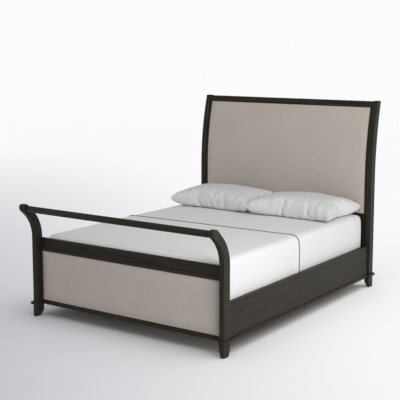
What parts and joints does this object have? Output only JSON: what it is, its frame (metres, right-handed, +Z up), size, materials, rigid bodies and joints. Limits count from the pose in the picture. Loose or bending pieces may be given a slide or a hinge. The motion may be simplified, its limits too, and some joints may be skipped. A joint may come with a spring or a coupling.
{
  "type": "sleigh bed",
  "caption": "Upholstered sleigh bed: curled footboard, leaning headboard, hook-on side rails, slatted base, mattress, sheets and two pillows.",
  "frame": {"origin": "middle of the bed's outer box at floor level", "axes": "+X to the right seen from the foot, +Y from the footboard to the headboard, +Z up"},
  "size_m": [1.706, 2.4299, 1.529],
  "materials": {
    "espresso_wood": "satin espresso stain over open grain",
    "dark_plywood": "matte stained veneer",
    "pale_wood": "unfinished sanded pine",
    "upholstery": "matte linen weave",
    "mattress_ticking": "matte knitted ticking",
    "box_spring_cover": "matte woven cover",
    "sheets": "matte percale cotton",
    "pillow_cotton": "matte percale cotton",
    "nylon": "moulded",
    "plated_steel": "zinc plated"
  },
  "bodies": {
    "bedstead": {"beam_cups": "plated_steel", "center_beam": "pale_wood", "center_leg_1": "pale_wood", "center_leg_2": "pale_wood", "center_leg_3": "pale_wood", "cleat_screws": "plated_steel", "floor_glides": "nylon", "foot_back_left": "espresso_wood", "foot_back_right": "espresso_wood", "foot_collar_back_left": "espresso_wood", "foot_collar_back_right": "espresso_wood", "foot_collar_front_left": "espresso_wood", "foot_collar_front_right": "espresso_wood", "foot_front_left": "espresso_wood", "foot_front_right": "espresso_wood", "footboard_back_panel": "dark_plywood", "footboard_bead_left": "espresso_wood", "footboard_bead_right": "espresso_wood", "footboard_bottom_rail": "espresso_wood", "footboard_cushion": "upholstery", "footboard_mid_rail": "espresso_wood", "footboard_post_left": "espresso_wood", "footboard_post_right": "espresso_wood", "footboard_top_rail": "espresso_wood", "headboard_back_panel": "dark_plywood", "headboard_bead_left": "espresso_wood", "headboard_bead_right": "espresso_wood", "headboard_cushion": "upholstery", "headboard_lower_rail": "espresso_wood", "headboard_post_left": "espresso_wood", "headboard_post_right": "espresso_wood", "headboard_stretcher": "espresso_wood", "headboard_top_rail": "espresso_wood", "plate_screws": "plated_steel", "post_slot_plates": "plated_steel", "rail_hook_plates": "plated_steel", "side_rail_cleat_left": "pale_wood", "side_rail_cleat_right": "pale_wood", "side_rail_left": "espresso_wood", "side_rail_molding_left": "espresso_wood", "side_rail_molding_right": "espresso_wood", "side_rail_right": "espresso_wood", "slat_1": "pale_wood", "slat_2": "pale_wood", "slat_3": "pale_wood", "slat_4": "pale_wood", "slat_5": "pale_wood", "slat_6": "pale_wood", "slat_7": "pale_wood", "slat_8": "pale_wood", "slat_9": "pale_wood", "slat_screws": "plated_steel"},
    "box_spring_body": {"box_spring": "box_spring_cover"},
    "mattress_body": {"mattress": "mattress_ticking", "fitted_sheet": "sheets", "cover_sheet": "sheets"},
    "pillow_left_body": {"pillow_left": "pillow_cotton"},
    "pillow_right_body": {"pillow_right": "pillow_cotton"}
  },
  "joints": [
    {"name": "box_spring_lift", "type": "slide", "parent": "bedstead", "child": "box_spring_body", "axis": [0, 0, 1], "range_m": [0, 0.25]},
    {"name": "mattress_lift", "type": "slide", "parent": "box_spring_body", "child": "mattress_body", "axis": [0, 0, 1], "range_m": [0, 0.35]},
    {"name": "pillow_left_lift", "type": "slide", "parent": "mattress_body", "child": "pillow_left_body", "axis": [0, 0, 1], "range_m": [0, 0.25]},
    {"name": "pillow_right_lift", "type": "slide", "parent": "mattress_body", "child": "pillow_right_body", "axis": [0, 0, 1], "range_m": [0, 0.25]}
  ]
}
